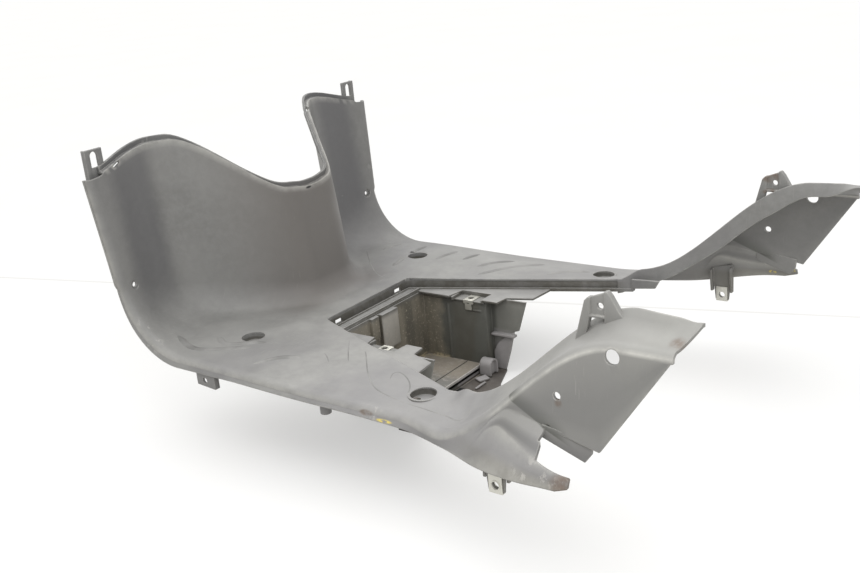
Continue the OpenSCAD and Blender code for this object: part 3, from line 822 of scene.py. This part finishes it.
# Clip nuts folded round their plates and bored through
def clip_nut(name, plate_t, to_layout, lip):
    half_w, leaf, gap, front, rear, bore_r, collar_r = 6.0, 0.8, plate_t / 2 + 0.15, 6.8, -9, 3.3, 4.3
    g, hole = Group(), Group()

    def slab(target, low, high):
        (x0, y0, z0), (x1, y1, z1) = low, high
        outline = [(x0, y0), (x1, y0), (x1, y1), (x0, y1)]
        target.prism(outline, lambda u, v, w: to_layout(u, v, z0 + w), z1 - z0)

    def rod(target, r, z0, z1):
        ring = [(r * math.cos(t), r * math.sin(t)) for t in np.linspace(0, 2 * math.pi, 36, endpoint=False)]
        target.prism(ring, lambda u, v, w: to_layout(u, v, z0 + w), z1 - z0)

    slab(g, (rear, -half_w, gap), (front, half_w, gap + leaf))
    slab(g, (rear, -half_w, -gap - leaf), (front, half_w, -gap))
    slab(g, (front - leaf, -half_w, -gap - leaf), (front, half_w, gap + leaf))
    rod(g, collar_r, -gap - leaf - 0.35, -gap)
    rod(hole, bore_r, -gap - 3, gap + 3)
    if lip:
        slab(g, (front - leaf, -4, lip), (front, 4, -1))
        rod(g, collar_r, gap + 0.1, gap + leaf + 0.35)
        slab(hole, (5, -1.6, -2.2), (8, 1.6, -0.7))
    ob = drilled(g.object(name, 0.15), hole, both_sides=False)
    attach(ob, "root")
    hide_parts(name)
    return ob


rim, seats, box, tabs, cups = opening_rim(), box_seats(), battery_box(), tabs_and_peg(), recess_cups()
clips = []
for s, side in ((-1, "left"), (1, "right")):
    # Plate thickness, the clip's own directions in the layout frame, and how deep its front lip reaches
    clips.append(clip_nut("well_clip_" + side, 2.2,
                          lambda u, v, w: (-113 + v, s * (74.5 - u), -13.6 + w), -9))
    clips.append(clip_nut("side_clip_" + side, 2.6,
                          lambda u, v, w: (108 + v, s * (220 - w), -26 - u), 0))


# Materials
def node(t, kind, **values):
    n = t.nodes.new(kind)
    for key, value in values.items():
        if key in n.inputs:
            n.inputs[key].default_value = value
        else:
            setattr(n, key, value)
    return n


def spot_at(p):
    """Place in the layout frame as plain numbers for a shader."""
    return tuple(float(q) for q in place(p))


class Nodes:
    """Small helper that adds nodes and returns their first outputs."""

    def __init__(self, t):
        self.t = t
        self.pos = t.nodes.new("ShaderNodeTexCoord").outputs["Object"]

    def feed(self, socket, value):
        if isinstance(value, (int, float)):
            socket.default_value = value
        elif isinstance(value, tuple):
            socket.default_value = value if len(value) == 3 or len(socket.default_value) == 4 else value[:3]
        else:
            self.t.links.new(value, socket)

    def axes(self):
        """Place in metres, distance from the middle plane, and how far the surface faces up."""
        self.x, self.y, self.z = self.split(self.pos)
        self.side = self.math("ABSOLUTE", self.y)
        self.normal = self.t.nodes.new("ShaderNodeNewGeometry").outputs["Normal"]
        self.facing = self.split(self.normal)[2]

    def split(self, vector):
        n = self.t.nodes.new("ShaderNodeSeparateXYZ")
        self.feed(n.inputs[0], vector)
        return n.outputs

    def attribute(self, name):
        n = self.t.nodes.new("ShaderNodeAttribute")
        n.attribute_name = name
        return n.outputs["Fac"]

    def math(self, op, a, b=0.0):
        n = self.t.nodes.new("ShaderNodeMath")
        n.operation = op
        self.feed(n.inputs[0], a)
        self.feed(n.inputs[1], b)
        return n.outputs[0]

    def times(self, *masks):
        out = masks[0]
        for m in masks[1:]:
            out = self.math("MULTIPLY", out, m)
        return out

    def vec(self, op, a, b=(0.0, 0.0, 0.0)):
        n = self.t.nodes.new("ShaderNodeVectorMath")
        n.operation = op
        self.feed(n.inputs[0], a)
        self.feed(n.inputs[1], b)
        return n.outputs["Value"] if op in ("LENGTH", "DOT_PRODUCT", "DISTANCE") else n.outputs[0]

    def step(self, value, low, high, to_low=0.0, to_high=1.0):
        n = self.t.nodes.new("ShaderNodeMapRange")
        n.interpolation_type = "SMOOTHSTEP"
        self.feed(n.inputs[0], value)
        for k, number in enumerate((low, high, to_low, to_high)):
            n.inputs[k + 1].default_value = number
        return n.outputs[0]

    def between(self, value, a, b, c, d):
        """1 from b to c, fading to 0 at a and at d."""
        return self.times(self.step(value, a, b), self.step(value, d, c))

    def noise(self, scale, detail=4.0, rough=0.55, stretch=None, distort=0.0):
        n = self.t.nodes.new("ShaderNodeTexNoise")
        n.inputs["Scale"].default_value = scale
        n.inputs["Detail"].default_value = detail
        n.inputs["Roughness"].default_value = rough
        n.inputs["Distortion"].default_value = distort
        self.feed(n.inputs["Vector"], self.vec("MULTIPLY", self.pos, stretch) if stretch else self.pos)
        return n.outputs[0]

    def colour(self, fac, a, b):
        n = self.t.nodes.new("ShaderNodeMix")
        n.data_type = "RGBA"
        self.feed(n.inputs[0], fac)
        self.feed(n.inputs[6], a + (1.0,) if isinstance(a, tuple) else a)
        self.feed(n.inputs[7], b + (1.0,) if isinstance(b, tuple) else b)
        return n.outputs[2]

    def spot(self, centre, radii, soft=0.5):
        """Soft mask round a place in the layout frame, in mm."""
        scale = tuple(1000.0 / r for r in radii)
        d = self.vec("LENGTH", self.vec("MULTIPLY", self.vec("SUBTRACT", self.pos, spot_at(centre)), scale))
        return self.step(d, soft, 1.0, 1.0, 0.0)

    def spots(self, places):
        return self.any_of([self.spot(*p) for p in places])

    def any_of(self, masks):
        out = masks[0]
        for m in masks[1:]:
            out = self.math("MAXIMUM", out, m)
        return out


def material(name, shader, **values):
    """New material with the given shader on its output, the node helper, and the shader."""
    mat = bpy.data.materials.new(name)
    mat.use_nodes = True
    t = mat.node_tree
    t.nodes.clear()
    shading, out = node(t, shader, **values), node(t, "ShaderNodeOutputMaterial")
    t.links.new(shading.outputs[0], out.inputs[0])
    return mat, Nodes(t), shading


def grey(n, up):
    """Grey plastic with broad and fine mottling, dust on what faces up, and wiped streaks."""
    col = n.colour(n.step(n.noise(9.0, 3.0), 0.35, 0.65), (0.218, 0.216, 0.208), (0.268, 0.265, 0.256))
    col = n.colour(n.step(n.noise(120.0, 5.0, 0.65), 0.3, 0.75, 0.0, 0.5), col, (0.305, 0.302, 0.292))
    dust = n.times(up, n.step(n.noise(34.0, 6.0, 0.7), 0.3, 0.7, 0.25, 0.8),
                   n.step(n.x, -0.18, 0.03, 0.45, 1.0))
    col = n.colour(dust, col, (0.415, 0.408, 0.39))
    wiped = n.step(n.noise(5.5, 4.0, 0.6, (1.0, 1.0, 0.45), 0.6), 0.42, 0.68, 0.0, 0.55)
    col = n.colour(wiped, col, (0.185, 0.18, 0.186))
    cast = n.step(n.noise(3.2, 2.0, 0.5), 0.5, 0.7, 0.0, 0.4)
    return n.colour(cast, col, (0.285, 0.278, 0.283)), dust


def zones(n, col):
    """Warm haze on the bulge, painted shade in the knee recesses, painted light on the near arm, darker
    tongues, and painted shade along the panel fronts.
    """
    shield, behind = n.step(n.x, -0.115, -0.15), n.step(n.x, 0.14, 0.22)
    col = n.colour(n.times(shield, n.step(n.side, 0.1, 0.03), 0.85), col, (0.165, 0.152, 0.14))
    # Painted shade: a darker strip in the knee recesses of the shield
    knee_shade = n.times(shield, n.between(n.side, 0.118, 0.14, 0.165, 0.19), n.step(n.z, 0.1, 0.16), 0.65)
    col = n.colour(knee_shade, col, (0.12, 0.119, 0.125))
    # Painted light: only the near arm is paler, for the light falling on it from the near side
    pale = n.times(behind, n.step(n.y, 0.0, -0.05), n.step(n.z, 0.1, 0.125, 0.0, 0.4))
    col = n.colour(pale, col, (0.37, 0.368, 0.335))
    col = n.colour(n.times(behind, n.step(n.z, 0.098, 0.09, 0.0, 0.6)), col, (0.16, 0.15, 0.12))
    # Painted shade: a dark strip on each arm panel along its front edge, where the panel steps in behind the
    # web
    above = n.vec("DOT_PRODUCT", n.vec("SUBTRACT", n.pos, spot_at((118, 0, 41))), (0.425, 0.0, 0.905))
    panel_edge_shade = n.times(n.step(above, 0.0, 0.016, 1.0, 0.0), n.step(above, -0.0005, 0.0008),
                   n.step(n.side, 0.2, 0.204), n.between(n.x, 0.199, 0.206, 0.245, 0.262), 0.85)
    return n.colour(panel_edge_shade, col, (0.11, 0.112, 0.1))


def wear_and_painted_light(n, col, up, bevel):
    """Painted shade on the flange, web and panel, pale edges and folds that are partly worn and partly
    painted highlight, and fine scratches in two directions.
    """
    col = n.colour(n.times(n.attribute("shade"), 0.7), col, (0.13, 0.13, 0.13))
    turn = n.vec("DOT_PRODUCT", bevel.outputs[0], n.normal)
    # Pale edges and folds: worn, and a painted highlight where a rounded edge catches light
    edges = n.times(n.step(turn, 0.82, 0.985, 1.0, 0.0), n.step(n.noise(60.0, 4.0), 0.35, 0.62, 0.15, 0.85))
    rubbed_and_highlit = n.times(n.attribute("wear_and_painted_light"), n.step(n.noise(45.0, 5.0, 0.7), 0.3, 0.65, 0.35, 0.95))
    col = n.colour(n.any_of([edges, rubbed_and_highlit]), col, (0.6, 0.59, 0.55))
    level = n.times(n.step(n.noise(1.0, 2.0, 0.5, (40.0, 900.0, 60.0)), 0.66, 0.72), up)
    upright = n.step(n.noise(1.0, 2.0, 0.5, (700.0, 60.0, 45.0)), 0.66, 0.72)
    scratch = n.times(n.any_of([level, upright]), n.step(n.noise(14.0, 2.0), 0.5, 0.66), 0.3)
    return n.colour(scratch, col, (0.42, 0.41, 0.39))


# Places of the marks as centre and radii in mm, where a third number gives how hard the edge is
SCUFFS = (((-310, -197, 14), (26, 14, 26)), ((155, -236, 3), (30, 12, 14)), ((-30, -197, -7), (18, 8, 8)))
STAINS = (((160, -212, 48.5), (4, 8, 4.5), 0.3), ((243, -196, 100), (8, 9, 6), 0.3),
          ((179, -237, 0), (17, 16, 12), 0.45), ((-34, -198, -7.5), (9, 6, 3)),
          ((-7.5, -163, -5), (4.5, 4.5, 3)), ((172, 176, 117), (12, 9, 8)), ((172, 176, 102), (9, 9, 4)))
GAP_SHADES = (((-251.6, -6.7, 121.2), (5, 5, 1.4), 0.6), ((-238, -135, -3.5), (3, 3, 3), 0.6))
FLECKS = (((-14, -200, -10.3), (10, 4, 1.6)), ((155.5, 236, -0.5), (5, 4, 3)), ((176, 235, 4), (5, 4, 3)))


def scuffs_stains_and_shade(n, col):
    """Scuffs, brown stains, painted shade in two dark slots, and a few yellow flecks where the photo shows
    them.
    """
    scuff = n.times(n.spots(SCUFFS), n.step(n.noise(150.0, 6.0, 0.75, (1.0, 1.0, 0.4)), 0.53, 0.6), 0.55)
    col = n.colour(scuff, col, (0.52, 0.5, 0.47))
    brown = n.times(n.spots(STAINS), n.step(n.noise(150.0, 5.0, 0.7), 0.3, 0.6, 0.2, 0.9), 0.8)
    col = n.colour(brown, col, (0.15, 0.1, 0.07))
    # Painted shade: near-black spots in two slots
    col = n.colour(n.spots(GAP_SHADES), col, (0.02, 0.02, 0.02))
    fleck = n.times(n.spots(FLECKS), n.step(n.noise(260.0, 4.0), 0.42, 0.55))
    return n.colour(fleck, col, (0.72, 0.58, 0.14))


def wall_dirt(n, front):
    """Dirt on the walls of the battery box, browner at the front, with runs and crumbs."""
    dirt = n.colour(front, (0.1, 0.102, 0.09), (0.24, 0.216, 0.17))
    runs = n.step(n.noise(34.0, 4.0, 0.6, (1.0, 1.0, 0.22)), 0.42, 0.62, 0.0, 0.75)
    dirt = n.colour(runs, dirt, (0.085, 0.08, 0.064))
    column = n.times(n.between(n.x, -0.0806, -0.08, -0.0785, -0.078), n.step(n.z, 0.042, 0.046),
                     n.step(n.y, 0.018, 0.0175), 0.8)
    dirt = n.colour(column, dirt, (0.5, 0.475, 0.43))
    crumbs = n.times(front, n.step(n.noise(330.0, 5.0, 0.75), 0.56, 0.66), 0.7)
    dirt = n.colour(crumbs, dirt, (0.6, 0.54, 0.42))
    return n.colour(n.step(n.x, 0.0, 0.006), dirt, (0.22, 0.22, 0.2))


def rear_dirt(n, dirt):
    """Darker base behind the box floor, with its paler stay and arched bosses."""
    rear = n.step(n.x, -0.0105, -0.0085)
    dirt = n.colour(n.times(rear, n.step(n.z, 0.0045, 0.0035)), dirt, (0.085, 0.072, 0.062))
    brace = n.times(n.step(n.x, -0.0015, 0.0), n.step(n.z, 0.051, 0.048))
    boss = n.times(n.step(n.side, 0.0698, 0.0693), n.step(n.z, 0.023, 0.0215))
    stay = n.times(rear, n.any_of([brace, boss]), n.step(n.z, 0.004, 0.005),
                   n.between(n.side, 0.015, 0.02, 0.0797, 0.0802))
    return n.colour(stay, dirt, (0.34, 0.325, 0.325))


def box_dirt_and_shade(n, col, up):
    """Dirt in the battery box, darker upright and down-facing faces round its rim, painted shade in a gap
    behind the box floor, and the pale dust on its floor.
    """
    rim = n.times(n.step(n.z, 0.0945, 0.0925), n.step(n.side, 0.19, 0.18), n.step(n.facing, 0.6, 0.3),
                  n.step(n.x, 0.125, 0.105), n.step(n.noise(50.0, 5.0, 0.7), 0.3, 0.65, 0.45, 0.95))
    col = n.colour(rim, col, (0.1, 0.094, 0.078))
    inside = n.times(n.step(n.z, 0.0835, 0.077), n.step(n.side, 0.092, 0.086), n.step(n.x, 0.062, 0.05))
    front = n.step(n.math("ADD", n.x, n.times(n.noise(22.0, 4.0), 0.05)), -0.03, -0.045)
    dirt = rear_dirt(n, wall_dirt(n, front))
    col = n.colour(n.times(inside, n.step(n.noise(38.0, 6.0, 0.7), 0.3, 0.7, 0.75, 1.0)), col, dirt)
    sand = n.step(n.math("ADD", n.y, n.times(n.noise(25.0, 4.0), 0.04)), 0.035, 0.06)
    soil = n.colour(sand, (0.2, 0.195, 0.182), (0.31, 0.275, 0.23))
    soil = n.colour(n.step(n.noise(200.0, 6.0, 0.75), 0.5, 0.62, 0.0, 0.6), soil, (0.42, 0.39, 0.35))
    ground = n.times(inside, up, n.step(n.z, 0.016, 0.011), n.step(n.x, -0.0065, -0.0085),
                     n.step(n.noise(60.0, 6.0, 0.75), 0.3, 0.5, 0.7, 1.0))
    col = n.colour(ground, col, soil)
    # Crumbs where the floor of the box meets its walls, and the pale edge of its rear lip
    seam = n.times(n.any_of([n.step(n.side, 0.063, 0.069), n.step(n.x, -0.078, -0.084)]), inside,
                   n.step(n.z, 0.0135, 0.0105), front, n.step(n.noise(240.0, 5.0, 0.75), 0.46, 0.58))
    col = n.colour(seam, col, (0.5, 0.43, 0.29))
    lip = n.times(n.between(n.x, -0.0107, -0.0102, -0.009, -0.0085),
                  n.between(n.z, 0.0095, 0.0101, 0.0125, 0.014), n.step(n.side, 0.067, 0.066))
    col = n.colour(lip, col, (0.5, 0.48, 0.45))
    # Painted shade: near-black patch for the dark gap through the base behind the box floor
    gap = n.times(n.between(n.x, -0.0086, -0.0082, 0.0088, 0.0092),
                  n.between(n.y, -0.0204, -0.02, 0.02, 0.0204), n.step(n.z, 0.0045, 0.0035))
    return n.colour(gap, col, (0.008, 0.008, 0.008)), inside


def grained(n, bevel):
    """Leather grain over a gently uneven moulding, as a normal."""
    grain = n.math("ADD", n.times(n.noise(1100.0, 2.0), 0.7), n.times(n.noise(420.0, 2.0), 0.5))
    wave = node(n.t, "ShaderNodeBump", Strength=0.35, Distance=0.002)
    n.feed(wave.inputs["Height"], n.noise(16.0, 2.0))
    n.feed(wave.inputs["Normal"], bevel.outputs[0])
    bump = node(n.t, "ShaderNodeBump", Strength=0.3, Distance=0.00025)
    n.feed(bump.inputs["Height"], grain)
    n.feed(bump.inputs["Normal"], wave.outputs[0])
    return bump.outputs[0]


def plastic():
    """Grained grey moulding with its dust, worn edges, scratches and stains, the dirt in the battery box, and
    painted highlights and shade.
    """
    mat, n, bsdf = material("worn_moulding_and_painted_light", "ShaderNodeBsdfPrincipled")
    n.axes()
    bevel = node(n.t, "ShaderNodeBevel", Radius=0.0016)
    bevel.samples = 6
    up = n.step(n.facing, 0.3, 0.9)
    col, dust = grey(n, up)
    col = scuffs_stains_and_shade(n, wear_and_painted_light(n, zones(n, col), up, bevel))
    col, inside = box_dirt_and_shade(n, col, up)
    rough = n.step(n.noise(18.0, 5.0, 0.6), 0.3, 0.7, 0.42, 0.58)
    n.feed(bsdf.inputs["Base Color"], col)
    n.feed(bsdf.inputs["Roughness"], n.math("ADD", rough, n.times(n.any_of([dust, inside]), 0.12)))
    n.feed(bsdf.inputs["Normal"], grained(n, bevel))
    return mat


def zinc():
    """Dull zinc of the clip nuts."""
    mat, n, bsdf = material("clip_zinc", "ShaderNodeBsdfPrincipled", Metallic=0.6, Roughness=0.42)
    bsdf.inputs["Base Color"].default_value = (0.64, 0.63, 0.57, 1)
    bump = node(n.t, "ShaderNodeBump", Strength=0.15, Distance=0.0002)
    n.feed(bump.inputs["Height"], n.noise(300.0, 4.0, 0.5))
    n.feed(bsdf.inputs["Normal"], bump.outputs[0])
    return mat


def line_plastic():
    """Slightly darker plastic of the tread marks."""
    mat, n, bsdf = material("tread_line", "ShaderNodeBsdfPrincipled", Roughness=0.55)
    col = n.colour(n.step(n.noise(30.0, 4.0), 0.35, 0.65), (0.2, 0.198, 0.19), (0.3, 0.295, 0.285))
    n.feed(bsdf.inputs["Base Color"], col)
    return mat


moulding, clip_steel, groove = plastic(), zinc(), line_plastic()
for ob in (skin, ridges, lines, rim, seats, box, tabs, cups):
    ob.data.materials.clear()
    ob.data.materials.append(groove if ob in (lines, ridges) else moulding)
    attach(ob, "root")
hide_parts("floorboard")
for ob in clips:
    ob.data.materials.clear()
    ob.data.materials.append(clip_steel)


# Floor, backdrop and light
def shown(t):
    """1 for what the camera sees directly, in a reflection or through a clear piece."""
    path = t.nodes.new("ShaderNodeLightPath")
    seen = path.outputs["Is Camera Ray"]
    for name in ("Is Glossy Ray", "Is Transmission Ray"):
        m = t.nodes.new("ShaderNodeMath")
        m.operation = "MAXIMUM"
        t.links.new(seen, m.inputs[0])
        t.links.new(path.outputs[name], m.inputs[1])
        seen = m.outputs[0]
    return seen


def paper():
    """White paper with a faint painted shade line at its crease, duller in what it throws back at the part.
    """
    mat, n, blend = material("floor_paper", "ShaderNodeMixShader")
    col = n.colour(n.step(n.noise(5.0, 4.0), 0.4, 0.7, 0.0, 0.5), (0.95, 0.95, 0.945), (0.93, 0.92, 0.9))
    # Painted shade: a darker line on the flat floor where the backdrop sheet turns up behind the part
    away = n.vec("DOT_PRODUCT", n.vec("SUBTRACT", n.pos, (-0.0758, 0.274, 0.0)), (-0.2607, 0.9654, 0.0))
    crease = n.step(n.math("ABSOLUTE", away), 0.001, 0.0035, 0.5, 0.0)
    col = n.colour(crease, col, (0.5, 0.48, 0.44))
    seen = shown(n.t)
    matt = node(n.t, "ShaderNodeBsdfDiffuse")
    n.feed(matt.inputs[0], n.colour(seen, (0.55, 0.54, 0.52), col))
    glow = node(n.t, "ShaderNodeEmission", Strength=1.0)
    glow.inputs[0].default_value = (1.0, 0.996, 0.985, 1)
    n.feed(blend.inputs[0], n.times(seen, 0.5))
    n.feed(blend.inputs[1], matt.outputs[0])
    n.feed(blend.inputs[2], glow.outputs[0])
    return mat


def paper_floor(half=60):
    me = bpy.data.meshes.new("floor")
    bm = bmesh.new()
    bmesh.ops.create_grid(bm, x_segments=1, y_segments=1, size=half)
    bm.to_mesh(me)
    bm.free()
    me.materials.append(paper())
    return new_object("floor", me)


def surroundings(level_on_part=0.42):
    """White where it is seen, and a soft fill light on the part."""
    world = bpy.data.worlds.new("world")
    bpy.context.scene.world = world
    world.use_nodes = True
    t = world.node_tree
    ground = t.nodes["Background"]
    ground.inputs["Color"].default_value = (1, 1, 1, 1)
    level = t.nodes.new("ShaderNodeMapRange")
    level.inputs[3].default_value, level.inputs[4].default_value = level_on_part, 1.0
    t.links.new(shown(t), level.inputs[0])
    t.links.new(level.outputs[0], ground.inputs["Strength"])


def lamp(name, kind, towards, power, color=(1, 1, 1)):
    light = bpy.data.lights.new(name, kind)
    light.energy = power
    light.color = color
    ob = new_object(name, light)
    ob.rotation_euler = Vector(towards).to_track_quat("-Z", "Y").to_euler()
    return ob


paper_floor()
surroundings()
overhead = lamp("overhead", "SUN", (0.36, -0.06, -1.0), 2.15, (1.0, 0.998, 0.985))
overhead.data.angle = math.radians(80)
window = lamp("window", "AREA", Vector((0.25, -0.15, 0.1)) - Vector((0.75, -0.75, 0.95)), 6.0)
window.data.shape, window.data.size = "SQUARE", 0.8
window.location = (0.75, -0.75, 0.95)

# Camera, solved from the photo
cam = bpy.data.cameras.new("camera")
cam.sensor_width = 36
cam.lens = 44.080
cam_ob = new_object("camera", cam)
bpy.context.scene.camera = cam_ob
cam_ob.matrix_world = Matrix(((0.8039041, -0.1260927, 0.581239, 0.593775),
                              (0.587953, 0.3159021, -0.7446591, -0.785819),
                              (-0.0897186, 0.9403757, 0.3280916, 0.466572),
                              (0, 0, 0, 1)))
bpy.context.scene.view_settings.view_transform = "Standard"
